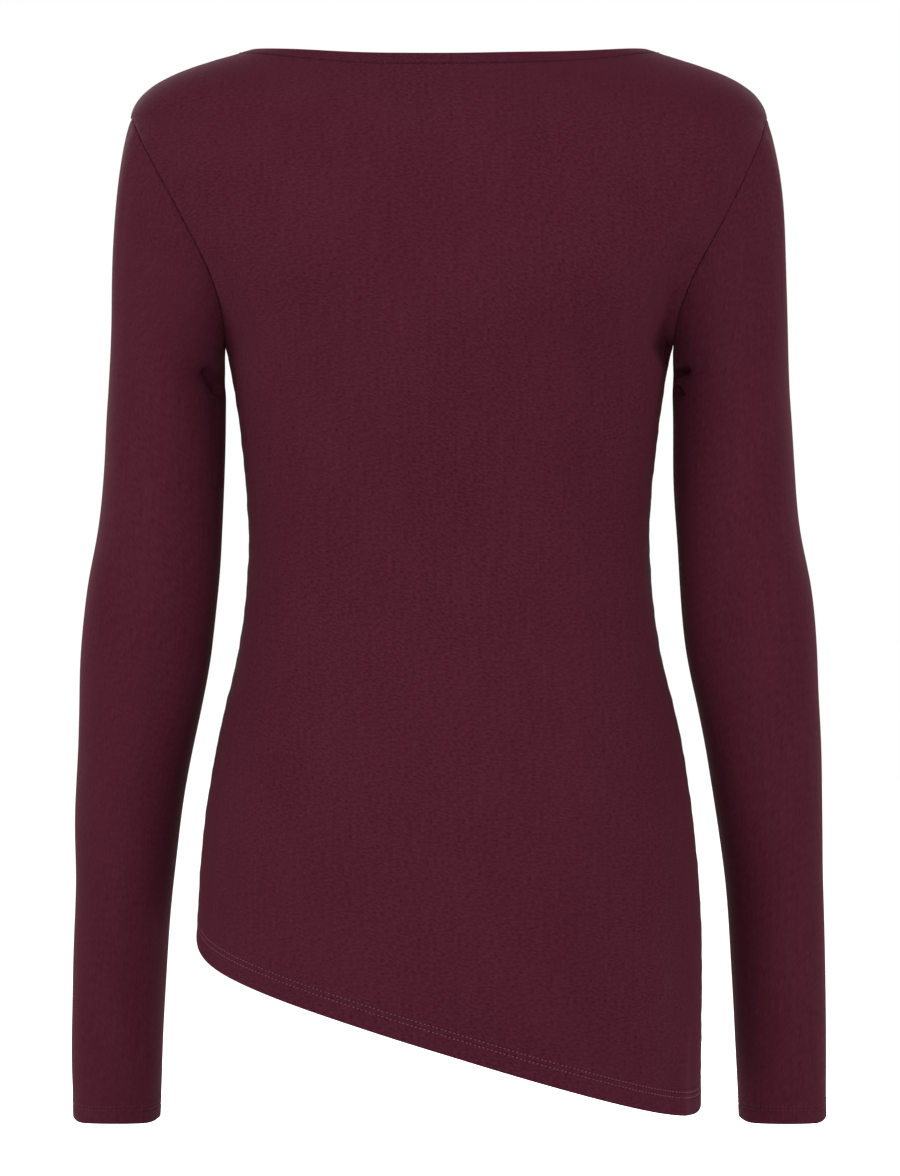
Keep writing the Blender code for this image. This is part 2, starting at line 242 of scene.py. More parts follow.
# Knit and colour
CLOTH_DARK = (0.0110, 0.0009, 0.0024, 1.0)
CLOTH_LIGHT = (0.0200, 0.0041, 0.0082, 1.0)
# The hem thread is painted about twice as light as the cloth: a painted highlight where its
# threads catch the light
HEM_THREAD_COLOUR_PAINTED_HIGHLIGHT = (0.0440, 0.0135, 0.0205, 1.0)
CUFF_THREAD_COLOUR = (0.0190, 0.0034, 0.0070, 1.0)
# The neck thread is painted near black, far darker than the cloth: painted shade of stitches sunk
# into the cloth
NECK_THREAD_COLOUR_PAINTED_SHADE = (0.0024, 0.0003, 0.0008, 1.0)
SHEEN_TINT = (1.0, 0.30, 0.42, 1.0)
WHITE = (1.0, 1.0, 1.0, 1.0)
WALE = 0.00068
COURSE = 0.00052
LOOP_RELIEF = 0.7
TONE_RANGE = (0.34, 0.66)
THREAD_DARKER = 0.8
THREAD_LIGHTER = 1.2

# Noises of the flat cloth. Share is what each adds to the relief or to the colour.
Noise = namedtuple("Noise", "stretch scale detail share", defaults=(1.0,))
FIBRES = Noise((1.0, 0.7, 1.0), 1500.0, 3.0, 0.8)
FLECKS = Noise((0.44, 1.0, 1.0), 880.0, 1.0, 0.56)
SPECKS = Noise((1.0, 1.0, 1.0), 1100.0, 1.0, 0.25)
STREAKS = Noise((1.0, 0.045, 1.0), 420.0, 2.0, 0.10)
CLOUDS = Noise((1.0, 1.0, 1.0), 16.0, 3.0, 0.09)
TWIST = Noise((1.0, 1.0, 1.0), 3200.0, 2.0)

# Bump, gloss and sheen of the cloth and of the threads
Finish = namedtuple("Finish", "bump bump_distance specular sheen")
JERSEY_FINISH = Finish(0.35, 0.00022, 0.01, 0.012)
THREAD_FINISH = Finish(0.4, 0.0001, 0.05, 0.02)
JERSEY_ROUGHNESS = 0.72
JERSEY_ROUGHNESS_SPREAD = 0.16
JERSEY_SHEEN_ROUGHNESS = 0.45
THREAD_ROUGHNESS = 0.62

# Stage, lights and camera
FLOOR_HEIGHT = -0.98
FLOOR_RADIUS = 12.0
FLOOR_COLOUR = (0.92, 0.92, 0.92, 1.0)
FLOOR_GLOW = 0.22
FLOOR_ROUGHNESS = 0.9
FLOOR_SIDES = 64
WORLD_STRENGTH = 1.0
AIM = (0.0, 0.0, -0.32)
Light = namedtuple("Light", "name place size power")
LIGHTS = (
    Light("left_softbox", (-1.85, -1.05, 0.90), (1.2, 1.4), 118.0),
    Light("right_softbox", (1.85, -1.05, 0.90), (1.2, 1.4), 96.0),
    Light("back_fill", (0.0, -2.4, 0.5), (1.8, 1.0), 82.0),
    Light("front_left_softbox", (-1.5, 2.0, 1.1), (1.2, 1.2), 125.0),
    Light("front_right_softbox", (1.6, 2.0, 1.1), (1.2, 1.2), 105.0),
)
CAMERA_DISTANCE = 2.8
VIEW_HEIGHT = 0.75264
SENSOR_HEIGHT = 36
CAMERA_LENS = SENSOR_HEIGHT * CAMERA_DISTANCE / VIEW_HEIGHT
CAMERA_PLACE = (0.0005, -CAMERA_DISTANCE, -0.3243)


def smooth(t):
    """A soft step from 0 to 1."""
    t = np.clip(t, 0.0, 1.0)
    return t * t * (3 - 2 * t)


def read_cuts(cuts, column, height):
    """The values of a column at some heights, on a smooth curve through the rows of a table."""
    place = -np.array([cut.height for cut in cuts])
    value = np.array([getattr(cut, column) for cut in cuts])
    slope = np.empty(len(cuts))
    slope[1:-1] = (value[2:] - value[:-2]) / (place[2:] - place[:-2])
    slope[0] = (value[1] - value[0]) / (place[1] - place[0])
    slope[-1] = (value[-1] - value[-2]) / (place[-1] - place[-2])
    x = np.clip(-np.asarray(height, float), place[0], place[-1])
    i = np.clip(np.searchsorted(place, x, side="right") - 1, 0, len(cuts) - 2)
    width = place[i + 1] - place[i]
    t = (x - place[i]) / width
    blend = value[i] * (1 + 2 * t) * (1 - t) ** 2 + value[i + 1] * t * t * (3 - 2 * t)
    return blend + width * (slope[i] * t * (1 - t) ** 2 - slope[i + 1] * t * t * (1 - t))


def bezier(p0, p1, p2, p3, t):
    """A point of a cubic curve."""
    u = 1 - t
    return p0 * u**3 + p1 * (3 * u * u * t) + p2 * (3 * u * t * t) + p3 * t**3


def together(x, y, z):
    """Coordinates as one array of points."""
    return np.stack(np.broadcast_arrays(x, y, z), axis=-1).astype(float)


def unit(vectors):
    return vectors / np.maximum(np.linalg.norm(vectors, axis=-1, keepdims=True), SHORTEST)


def body_point(face, side, share, height):
    """Points of the body. Share is 0 at a panel's middle and 1 at its side seam."""
    half_width = read_cuts(BODY_CUTS, "half_width", height)
    edge = read_cuts(BODY_CUTS, "side", height)
    middle = read_cuts(BODY_CUTS, face, height)
    full = FULLNESS[face]
    x = bezier(0.0, full * half_width, half_width, half_width, share)
    y = bezier(middle, middle, edge + full * (middle - edge), edge, share)
    return together(side * x, y, height)


def body_normal(face, side, share, height):
    """The way out of the body at its points."""
    share = np.clip(share, SMALL_STEP, 1 - SMALL_STEP)
    across = body_point(face, side, share + SMALL_STEP, height)
    across -= body_point(face, side, share - SMALL_STEP, height)
    up = body_point(face, side, share, height + SMALL_STEP)
    up -= body_point(face, side, share, height - SMALL_STEP)
    return unit(np.cross(across, up)) * (side if face == "back" else -side)


def armhole_edge(face, side, around):
    """(share, height) of the armhole seam. Around is 0 at the shoulder and 1 under the arm."""
    around = np.clip(around, 0.0, 1.0)
    angle = (math.pi * around + np.arccos(1 - 2 * around)) / 2
    middle = (ARMHOLE_TOP + ARMHOLE_BOTTOM) / 2
    reach = (ARMHOLE_TOP - ARMHOLE_BOTTOM) / 2
    height = middle + reach * np.cos(angle)
    away = -1 if face == "back" else 1
    bulge = np.sin(angle) * (1 - ARMHOLE_LEAN * np.cos(angle))
    depth = read_cuts(BODY_CUTS, "side", height) + away * ARMHOLE_REACH[face][side] * bulge
    low, high = np.zeros_like(height), np.ones_like(height)
    for _ in range(BISECTIONS):
        share = (low + high) / 2
        short = away * (body_point(face, 1, share, height)[..., 1] - depth) > 0
        low, high = np.where(short, share, low), np.where(short, high, share)
    return high, height


def shoulder_point(face, side, across, rise):
    """Points from the height of the shoulder tips, rise 0, to the neck edge, rise 1."""
    start = body_point(face, side, across, np.full_like(across, ARMHOLE_TOP))
    below = body_point(face, side, across, np.full_like(across, ARMHOLE_TOP - SMALL_STEP))
    up = (start - below) / SMALL_STEP
    turn = across * math.pi / 2
    corner_y = BODY_CUTS[0].side
    end = together(
        side * NECK_HALF_WIDTH * np.sin(turn),
        corner_y + (NECK_MIDDLE_Y[face] - corner_y) * np.cos(turn),
        NECK_CORNER_HEIGHT - NECK_DROP[face] * np.cos(turn) ** 2,
    )
    blend = across * across * (3 - 2 * across)
    climb = (1 - blend) * (end[..., 2] - start[..., 2]) + blend * SHOULDER_RISE
    corner = np.array([side * CORNER_PULL[0], CORNER_PULL[1], CORNER_PULL[2]])
    blend = blend[..., None]
    pull = np.array(MIDDLE_PULL[face]) * (1 - blend) + corner * blend
    return bezier(start, start + up * (climb[..., None] / 3), end - pull, end, rise[..., None])


def hem_height(face, side, share):
    """The height of the slanting hem."""
    x = body_point(face, side, share, np.full_like(share, HEM_MIDDLE_HEIGHT))[..., 0]
    return HEM_MIDDLE_HEIGHT + HEM_SLOPE * x + HEM_SIDE_RISE[side] * share**HEM_SIDE_POWER


def half_panel(face, side, across, rows):
    """Points of half a panel. Across is a row by column table and rows a list of rows."""
    parts = []
    hem_rows = rows < BODY_ROWS
    share = across[hem_rows]
    hem = hem_height(face, side, share)
    height = hem + (ARMHOLE_BOTTOM - hem) * (rows[hem_rows] / BODY_ROWS)[:, None]
    parts.append(body_point(face, side, share, height))
    arm_rows = ~hem_rows & (rows < BODY_ROWS + ARMHOLE_ROWS)
    around = 1 - (rows[arm_rows] - BODY_ROWS) / ARMHOLE_ROWS
    edge_share, height = armhole_edge(face, side, around)
    share = across[arm_rows] * edge_share[:, None]
    parts.append(body_point(face, side, share, np.broadcast_to(height[:, None], share.shape)))
    top_rows = rows >= BODY_ROWS + ARMHOLE_ROWS
    rise = (rows[top_rows] - BODY_ROWS - ARMHOLE_ROWS) / SHOULDER_ROWS
    share = across[top_rows]
    parts.append(shoulder_point(face, side, share, np.broadcast_to(rise[:, None], share.shape)))
    return np.concatenate(parts)


def panel_rows():
    """Where the rows of a panel lie between the rows of its solid, close at stitched edges."""
    length = ARMHOLE_BOTTOM - HEM_MIDDLE_HEIGHT
    hem = np.arange(0.0, HEM_ZONE, EDGE_STEP)
    body = np.linspace(HEM_ZONE, length, round((length - HEM_ZONE) / BODY_STEP), endpoint=False)
    lower = np.concatenate([hem, body]) / length * BODY_ROWS
    armhole = BODY_ROWS + ARMHOLE_ROWS * np.arange(ARMHOLE_DIVISIONS) / ARMHOLE_DIVISIONS
    rest = np.linspace(0.0, 1 - NECK_ZONE, SHOULDER_DIVISIONS, endpoint=False)
    neck = np.arange(round(NECK_ZONE / NECK_STEP), -1, -1) * NECK_STEP
    top = BODY_ROWS + ARMHOLE_ROWS + SHOULDER_ROWS * np.concatenate([rest, 1 - neck])
    return np.concatenate([lower, armhole, top])


def panel_points(face):
    """The points of a panel as rows from the hem up, each running so that it faces out."""
    rows = panel_rows()
    plain = 1 - (1 - np.arange(HALF_COLUMNS + 1) / HALF_COLUMNS) ** COLUMN_CROWDING
    halves = {}
    for side in (-1, 1):
        ends = np.repeat([[1 - SMALL_STEP, 1.0]], len(rows), axis=0)
        step = half_panel(face, side, ends, rows)
        step = np.linalg.norm(step[:, 1] - step[:, 0], axis=1)
        limit = 1 - SEAM_GAP / 2 * SMALL_STEP / step
        across = np.minimum(np.repeat(plain[None, :], len(rows), axis=0), limit[:, None])
        halves[side] = half_panel(face, side, across, rows)
    points = np.concatenate([halves[-1][:, :0:-1], halves[1]], axis=1)
    return points if face == "back" else points[:, ::-1]


def sleeve_cut_point(side, angle, height):
    """Points round a sleeve. Angle is 0 at its outer side."""
    outer = read_cuts(SLEEVE_CUTS, "outer", height)
    inner = read_cuts(SLEEVE_CUTS, "inner", height)
    middle = read_cuts(SLEEVE_CUTS, "middle", height)
    half_depth = read_cuts(SLEEVE_CUTS, "half_depth", height)
    x = (outer + inner) / 2 + (outer - inner) / 2 * np.cos(angle)
    forward = -half_depth * np.sin(angle)
    top, cuff = SLEEVE_CUTS[0].height, SLEEVE_CUTS[-1].height
    down = (top - height) / (top - cuff)
    rise = CUFF_SIDE_RISE * down**CUFF_RISE_DOWN_POWER * np.cos(angle) ** CUFF_RISE_AROUND_POWER
    lift = CUFF_TILT * down * forward + rise
    return together(side * x, middle + forward, height + lift)


def armhole_seam(face, side, around):
    """Points of the armhole seam, the way out there, the way off the panel, and the fold."""
    share, height = armhole_edge(face, side, around)
    seam = body_point(face, side, share, height)
    normal = body_normal(face, side, share, height)
    before = body_point(face, side, *armhole_edge(face, side, around - SEAM_STEP))
    after = body_point(face, side, *armhole_edge(face, side, around + SEAM_STEP))
    away = unit(np.cross(normal, after - before)) * (side if face == "back" else -side)
    under = around**SLEEVE_FOLD_POWER
    fold = (SLEEVE_FOLD_TOP + (SLEEVE_FOLD_UNDER - SLEEVE_FOLD_TOP) * under)[:, None]
    return seam, normal, away, fold


def sleeve_head(face, side, angle, down):
    """Points from the armhole seam, down 0, to the first cut of the sleeve, down 1."""
    around = np.minimum(angle, 2 * math.pi - angle) / math.pi
    seam, normal, away, fold = armhole_seam(face, side, around)
    start = seam + away * (SEAM_GAP * (1 - np.sin(math.pi * around) / 2))[:, None]
    start = start + normal * SEAM_GAP * np.sin(fold / 2)
    lead = away * np.cos(fold) + normal * np.sin(fold)
    top = np.full_like(angle, SLEEVE_CUTS[0].height)
    end = sleeve_cut_point(side, angle, top)
    fall = unit(end - sleeve_cut_point(side, angle, top - SMALL_STEP))
    pull = SLEEVE_PULL_TOP + (SLEEVE_PULL_UNDER - SLEEVE_PULL_TOP) * around
    reach = np.linalg.norm(end - start, axis=1, keepdims=True) / 3 * pull[:, None]
    down = down[:, None, None]
    return bezier(start, start + lead * reach, end + fall * reach, end, down)


def sleeve_columns():
    """The angle of each column of a sleeve, closer at its inner side, and which are behind."""
    angle = 2 * math.pi * np.arange(SLEEVE_COLUMNS) / SLEEVE_COLUMNS
    angle = angle + SLEEVE_CROWDING * np.sin(angle)
    return angle, np.arange(SLEEVE_COLUMNS) <= SLEEVE_COLUMNS // 2


def sleeve_points(side):
    """The points of a sleeve as rows from the armhole seam down, each running round it."""
    angle, behind = sleeve_columns()
    down = (np.arange(SLEEVE_HEAD_DIVISIONS) / SLEEVE_HEAD_DIVISIONS) ** SLEEVE_HEAD_CROWDING
    head = [
        sleeve_head("back", side, angle[behind], down),
        sleeve_head("front", side, angle[~behind], down),
    ]
    top, cuff = SLEEVE_CUTS[0].height, SLEEVE_CUTS[-1].height
    fine = np.arange(top, top - FINE_ZONE, -FINE_STEP)
    count = round((top - FINE_ZONE - cuff - CUFF_ZONE) / SLEEVE_STEP)
    plain = np.linspace(top - FINE_ZONE, cuff + CUFF_ZONE, count, endpoint=False)
    near_cuff = cuff + EDGE_STEP * np.arange(round(CUFF_ZONE / EDGE_STEP), -1, -1)
    height = np.concatenate([fine, plain, near_cuff])[:, None]
    drop = sleeve_cut_point(side, angle[None, :], height)
    points = np.concatenate([np.concatenate(head, axis=1), drop])
    return points if side > 0 else points[:, ::-1]


def grid_normals(points, closed):
    """The direction out of a surface at each point of its grid."""
    wide = np.concatenate([points[:, -1:], points, points[:, :1]], axis=1) if closed else points
    along = np.gradient(wide, axis=1)
    if closed:
        along = along[:, 1:-1]
    return unit(np.cross(along, np.gradient(points, axis=0)))


def run_length(points, axis):
    """How far along its row or column each point lies."""
    steps = np.linalg.norm(np.diff(points, axis=axis), axis=-1)
    start = np.zeros_like(np.take(steps, [0], axis=axis))
    return np.concatenate([start, np.cumsum(steps, axis=axis)], axis=axis)


def from_edge(points, edge, rows):
    """How far each point of the given rows lies from an edge line. The others are far."""
    distance = np.full(points.shape[:2], FAR)
    start, step = edge[:-1], np.diff(edge, axis=0)
    for row in rows:
        place = points[row][:, None] - start
        share = np.clip((place * step).sum(-1) / (step * step).sum(-1), 0, 1)
        apart = np.linalg.norm(place - share[..., None] * step, axis=-1)
        distance[row] = apart.min(axis=1)
    return distance


def turned_edge(distance, edge):
    """How a turned and stitched edge lifts the cloth."""
    lift = BAND_RISE * (1 - smooth((distance - edge.turn) / TURN_STEP))
    lift = lift - EDGE_ROLL * np.clip(1 - distance / EDGE_ROLL_WIDTH, 0, 1) ** 2
    for line in edge.lines:
        lift = lift - edge.groove * np.exp(-(((distance - line) / GROOVE_WIDTH) ** 2))
    return lift


def seam(distance, along, start, strength=1.0):
    """How a seam draws the cloth in, with uneven puckers beside it."""
    waves = sum(p.strength * np.sin(along / p.length + p.turn * start) for p in PUCKERS)
    pucker = strength * PUCKER_HEIGHT * waves * np.exp(-distance / PUCKER_REACH)
    pucker = pucker * smooth(distance / PUCKER_START)
    return pucker - SEAM_ROLL * np.clip(1 - distance / SEAM_ROLL_WIDTH, 0, 1) ** 2


def folds_and_waves(piece, points):
    """How the folds and waves of a piece lift its cloth."""
    lift = np.zeros(points.shape[:2])
    depth = points[..., 1] - points[..., 1].mean(axis=1, keepdims=True)
    for fold in FOLDS:
        if fold.piece == piece:
            start, end = np.array(fold.start), np.array(fold.end)
            along, place = end - start, points[..., [0, 2]] - start
            share = np.clip((place @ along) / (along @ along), 0, 1)
            apart = np.linalg.norm(place - share[..., None] * along, axis=-1)
            kept = smooth(fold.behind * depth / FOLD_TURN) if fold.behind else 1.0
            lift += kept * fold.height * np.exp(-((apart / fold.width) ** 2))
    for wave in WAVES:
        if wave.piece == piece:
            turn = points[..., 0] * wave.across + points[..., 2] * wave.down
            lift += wave.height * np.sin(2 * math.pi * turn + wave.start)
    return lift


def make_object(name, vertices, faces, material, flat_places=None):
    """A mesh in the scene. Flat places are where its corners lie on the flat cloth."""
    mesh = bpy.data.meshes.new(name)
    mesh.from_pydata(vertices.tolist(), [], faces.tolist())
    if flat_places is not None:
        layer = mesh.uv_layers.new(name="cloth")
        layer.data.foreach_set("uv", flat_places.astype(np.float32).ravel())
    mesh.materials.append(material)
    mesh.shade_smooth()
    mesh.update()
    made = bpy.data.objects.new(name, mesh)
    bpy.context.scene.collection.objects.link(made)
    return made


def cloth_object(name, points, closed, material, across=None, down=None):
    """A grid of points as a shell of cloth, with its place on the flat cloth for the knit."""
    across = run_length(points, axis=1) if across is None else across
    down = run_length(points, axis=0) if down is None else down
    rows, columns = points.shape[:2]
    last = columns if closed else columns - 1
    row, column = np.meshgrid(np.arange(rows - 1), np.arange(last), indexing="ij")
    after = (column + 1) % columns
    corners = [(row, column), (row, after), (row + 1, after), (row + 1, column)]
    faces = np.stack([r * columns + c for r, c in corners], axis=-1).reshape(-1, 4)
    if closed:
        gap = np.linalg.norm(points[:, 0] - points[:, -1], axis=1)
        across = np.concatenate([across, across[:, -1:] + gap[:, None]], axis=1)
        down = np.concatenate([down, down[:, :1]], axis=1)
    places = [(row, column), (row, column + 1), (row + 1, column + 1), (row + 1, column)]
    flat = np.stack([np.stack([across[p], down[p]], axis=-1) for p in places], axis=2)
    return make_object(name, points.reshape(-1, 3), faces, material, flat)


def add_wall(piece, thickness, offset):
    wall = piece.modifiers.new("Wall", "SOLIDIFY")
    wall.thickness = thickness
    wall.offset = offset


def line_at(points, normals, distance, rows, wanted):
    """Where each column crosses the given distance from an edge, and the normals there."""
    places, ways = [], []
    for column in range(points.shape[1]):
        away = distance[rows, column]
        k = int(np.argmax(away >= wanted))
        t = (wanted - away[k - 1]) / (away[k] - away[k - 1])
        low, high = rows[k - 1], rows[k]
        places.append(points[low, column] * (1 - t) + points[high, column] * t)
        ways.append(normals[low, column] * (1 - t) + normals[high, column] * t)
    return np.array(places), unit(np.array(ways))


def stitch_row(line, normals, edge, closed):
    """The vertices and faces of one row of stitches along a line on the cloth."""
    if closed:
        line, normals = np.vstack([line, line[:1]]), np.vstack([normals, normals[:1]])
    run = np.concatenate([[0], np.cumsum(np.linalg.norm(np.diff(line, axis=0), axis=1))])
    count = int(run[-1] / edge.pitch)
    pitch = run[-1] / count
    number = np.arange(count)
    place = (number + 0.5) * pitch + STITCH_DRIFT * pitch * np.sin(STITCH_DRIFT_TURN * number)

    def read(values, where):
        return np.stack([np.interp(where, run, values[:, k]) for k in range(3)], axis=1)

    centre = read(line, place)
    forward = unit(read(line, place + pitch / 2) - read(line, place - pitch / 2))
    out = unit(read(normals, place))
    out = unit(out - forward * (out * forward).sum(1, keepdims=True))
    side = np.cross(out, forward)
    ring = np.array([r.along for r in STITCH_RINGS])
    radius = edge.thread_radius * np.array([r.swell for r in STITCH_RINGS])
    rise = edge.thread_radius * (1 - STITCH_ARCH * ring**2) - edge.sink
    turn = 2 * math.pi * np.arange(STITCH_SIDES) / STITCH_SIDES
    points = (
        centre[:, None, None]
        + forward[:, None, None] * (ring * edge.stitch_length / 2)[None, :, None, None]
        + out[:, None, None] * (rise[:, None] + radius[:, None] * np.sin(turn))[None, :, :, None]
        + side[:, None, None] * (radius[:, None] * np.cos(turn))[None, :, :, None]
    )
    last = len(STITCH_RINGS) - 1
    ring_no, turn_no = np.meshgrid(np.arange(last), np.arange(STITCH_SIDES), indexing="ij")
    after = (turn_no + 1) % STITCH_SIDES
    corners = [(ring_no, turn_no), (ring_no + 1, turn_no), (ring_no + 1, after), (ring_no, after)]
    quads = np.stack([r * STITCH_SIDES + t for r, t in corners], axis=-1).reshape(-1, 4)
    first_end = np.array(STITCH_END_FACES)
    last_end = last * STITCH_SIDES + first_end[:, ::-1]
    quads = np.concatenate([quads, first_end, last_end])
    vertex_count = len(STITCH_RINGS) * STITCH_SIDES
    faces = (quads[None] + vertex_count * number[:, None, None]).reshape(-1, 4)
    return points.reshape(-1, 3), faces


def stitches(name, points, normals, distance, rows, edge, closed, material):
    """All the stitch rows of one turned edge, as one piece."""
    vertices, faces, total = [], [], 0
    for wanted in edge.lines:
        line, ways = line_at(points, normals, distance, rows, wanted)
        made, quads = stitch_row(line, ways, edge, closed)
        vertices.append(made)
        faces.append(quads + total)
        total += len(made)
    return make_object(name, np.concatenate(vertices), np.concatenate(faces), material)


def nodes_of(name):
    material = bpy.data.materials.new(name)
    material.use_nodes = True
    return material, material.node_tree, material.node_tree.nodes["Principled BSDF"]


def math_node(tree, operation, first, second=None):
    node = tree.nodes.new("ShaderNodeMath")
    node.operation = operation
    for socket, value in zip(node.inputs, (first, second)):
        if value is None:
            continue
        if isinstance(value, (int, float)):
            socket.default_value = value
        else:
            tree.links.new(value, socket)
    return node.outputs[0]


def add(tree, total, value, share):
    """A total with a share of a value added."""
    return math_node(tree, "ADD", total, math_node(tree, "MULTIPLY", value, share))


def noise(tree, coordinates, kind):
    mapping = tree.nodes.new("ShaderNodeMapping")
    mapping.inputs["Scale"].default_value = kind.stretch
    tree.links.new(coordinates, mapping.inputs["Vector"])
    node = tree.nodes.new("ShaderNodeTexNoise")
    node.inputs["Scale"].default_value = kind.scale
    node.inputs["Detail"].default_value = kind.detail
    tree.links.new(mapping.outputs["Vector"], node.inputs["Vector"])
    return node.outputs["Fac"]


def colour_and_finish(tree, shader, height, tone, tone_range, colours, finish):
    """Bump from a height, colour between two from a tone, and the shader's own gloss."""
    bump = tree.nodes.new("ShaderNodeBump")
    bump.inputs["Strength"].default_value = finish.bump
    bump.inputs["Distance"].default_value = finish.bump_distance
    tree.links.new(height, bump.inputs["Height"])
    tree.links.new(bump.outputs["Normal"], shader.inputs["Normal"])
    ramp = tree.nodes.new("ShaderNodeValToRGB")
    for element, position, colour in zip(ramp.color_ramp.elements, tone_range, colours):
        element.position = position
        element.color = colour
    tree.links.new(tone, ramp.inputs["Fac"])
    tree.links.new(ramp.outputs["Color"], shader.inputs["Base Color"])
    shader.inputs["Specular IOR Level"].default_value = finish.specular
    shader.inputs["Sheen Weight"].default_value = finish.sheen
    shader.inputs["Sheen Tint"].default_value = SHEEN_TINT


def jersey_material():
    """Fine jersey: wales and courses as bump, fibres and faint streaks as colour, a soft sheen."""
    material, tree, shader = nodes_of("jersey")
    coordinates = tree.nodes.new("ShaderNodeTexCoord")
    apart = tree.nodes.new("ShaderNodeSeparateXYZ")
    tree.links.new(coordinates.outputs["UV"], apart.inputs["Vector"])
    wale = math_node(tree, "MULTIPLY", apart.outputs["X"], 1 / WALE)
    folded = math_node(tree, "PINGPONG", wale, 0.5)
    course = math_node(tree, "MULTIPLY", apart.outputs["Y"], 1 / COURSE)
    slanted = math_node(tree, "ADD", course, folded)
    loop = math_node(tree, "PINGPONG", slanted, 0.5)
    height = add(tree, folded, loop, LOOP_RELIEF)
    flat = coordinates.outputs["UV"]
    height = add(tree, height, noise(tree, flat, FIBRES), FIBRES.share)
    specks = noise(tree, flat, SPECKS)
    tone = math_node(tree, "MULTIPLY", noise(tree, flat, FLECKS), FLECKS.share)
    tone = add(tree, tone, specks, SPECKS.share)
    for kind in (STREAKS, CLOUDS):
        tone = add(tree, tone, noise(tree, flat, kind), kind.share)
    colours = (CLOTH_DARK, CLOTH_LIGHT)
    colour_and_finish(tree, shader, height, tone, TONE_RANGE, colours, JERSEY_FINISH)
    uneven = math_node(tree, "MULTIPLY", specks, JERSEY_ROUGHNESS_SPREAD)
    roughness = math_node(tree, "ADD", uneven, JERSEY_ROUGHNESS)
    tree.links.new(roughness, shader.inputs["Roughness"])
    shader.inputs["Sheen Roughness"].default_value = JERSEY_SHEEN_ROUGHNESS
    return material


def thread_material(name, colour):
    """Spun thread, with a fine twist and a little shine."""
    material, tree, shader = nodes_of(name)
    coordinates = tree.nodes.new("ShaderNodeTexCoord")
    twist = noise(tree, coordinates.outputs["Object"], TWIST)
    colours = [
        tuple(tone * c for c in colour[:3]) + (1.0,) for tone in (THREAD_DARKER, THREAD_LIGHTER)
    ]
    colour_and_finish(tree, shader, twist, twist, (0.0, 1.0), colours, THREAD_FINISH)
    shader.inputs["Roughness"].default_value = THREAD_ROUGHNESS
    return material


def settle(piece):
    """Makes a finished piece ride on the part."""
    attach(piece, "root")
    return piece


# A finished piece: its object, what is sewn to it, its plain form, its creased form and the
# ways out of the plain form
Cloth = namedtuple("Cloth", "piece sewn plain points ways")


def build_panel(face, cloth, thread, neck_thread):
    """The back or the front, with its turned edges, seams, folds and stitches."""
    plain = panel_points(face)
    ways = grid_normals(plain, closed=False)
    across, up = run_length(plain, axis=1), run_length(plain, axis=0)
    rows = len(plain)
    hem_rows = np.arange(0, rows // HEM_ROW_SHARE)
    neck_rows = np.arange(rows - 1, rows - 1 - NECK_ROW_COUNT, -1)
    hem = from_edge(plain, plain[0], hem_rows)
    neck = from_edge(plain, plain[-1], neck_rows)
    first_edge, last_edge = across, across[:, -1:] - across
    lift = folds_and_waves(face, plain)
    lift *= smooth(np.minimum(first_edge, last_edge) / SEAM_CLEARANCE)
    lift += turned_edge(hem, HEM) + turned_edge(neck, NECK)
    shoulder = panel_rows()[:, None] > BODY_ROWS + ARMHOLE_ROWS
    strength = np.where(shoulder, SHOULDER_PUCKER, 1.0)
    lift += seam(first_edge, up, PUCKER_STARTS["first_edge"], strength)
    lift += seam(last_edge, up, PUCKER_STARTS["last_edge"], strength)
    points = plain + ways * lift[..., None]
    normals = grid_normals(points, closed=False)
    middle = across[:, across.shape[1] // 2][:, None]
    piece = cloth_object(f"{face}_cloth", points, False, cloth, across - middle, up)
    add_wall(piece, WALL, -1.0)
    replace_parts(settle(piece), face)
    sewn = []
    for edge_name, distance, edge_rows, edge, material in (
        # The hem thread's light colour is a painted highlight, and the neck thread's near black is
        # painted shade
        ("hem", hem, hem_rows, HEM, thread),
        ("neck", neck, neck_rows, NECK, neck_thread),
    ):
        row_name = f"{face}_{edge_name}_stitches"
        made = stitches(row_name, points, normals, distance, edge_rows, edge, False, material)
        sewn.append(settle(made))
    return Cloth(piece, sewn, plain, points, ways)


def build_sleeve(name, side, cloth, thread):
    """A sleeve, with its turned cuff, seams, folds and stitches."""
    plain = sleeve_points(side)
    ways = grid_normals(plain, closed=True)
    down = run_length(plain, axis=0)
    across = run_length(plain, axis=1)
    rows = len(plain)
    cuff_rows = np.arange(rows - 1, rows - 2 - round(CUFF_ZONE / EDGE_STEP), -1)
    cuff = down[-1:] - down
    around_top = run_length(plain[:1], axis=1)
    lift = folds_and_waves(name, plain) * smooth(down / SEAM_CLEARANCE)
    lift += turned_edge(cuff, CUFF)
    lift += seam(down, np.broadcast_to(around_top, down.shape), PUCKER_STARTS["armhole"])
    inner = SLEEVE_COLUMNS // 2 if side > 0 else SLEEVE_COLUMNS // 2 - 1
    from_seam = across - across[:, inner][:, None]
    lift -= SLEEVE_SEAM_DEPTH * np.exp(-((from_seam / SLEEVE_SEAM_WIDTH) ** 2))
    points = plain + ways * lift[..., None]
    normals = grid_normals(points, closed=True)
    piece = cloth_object(f"{name}_cloth", points, True, cloth, across, -down)
    add_wall(piece, WALL, -1.0)
    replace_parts(settle(piece), name)
    sewn = stitches(f"{name}_stitches", points, normals, cuff, cuff_rows, CUFF, True, thread)
    return Cloth(piece, [settle(sewn)], plain, points, ways)


def along_rows(grid, distance):
    """Points that lie some way along each row of a grid."""
    run = run_length(grid, axis=1)
    read = [[np.interp(distance, r, row[:, k]) for k in range(3)] for r, row in zip(run, grid)]
    return np.array(read)


def allowance(name, sections, closed, material):
    """The cloth beyond a seam, pressed open inside, through the lines of points given."""
    piece = cloth_object(name, np.stack(sections), closed, material)
    add_wall(piece, ALLOWANCE_WALL, 0.0)
    return settle(piece)


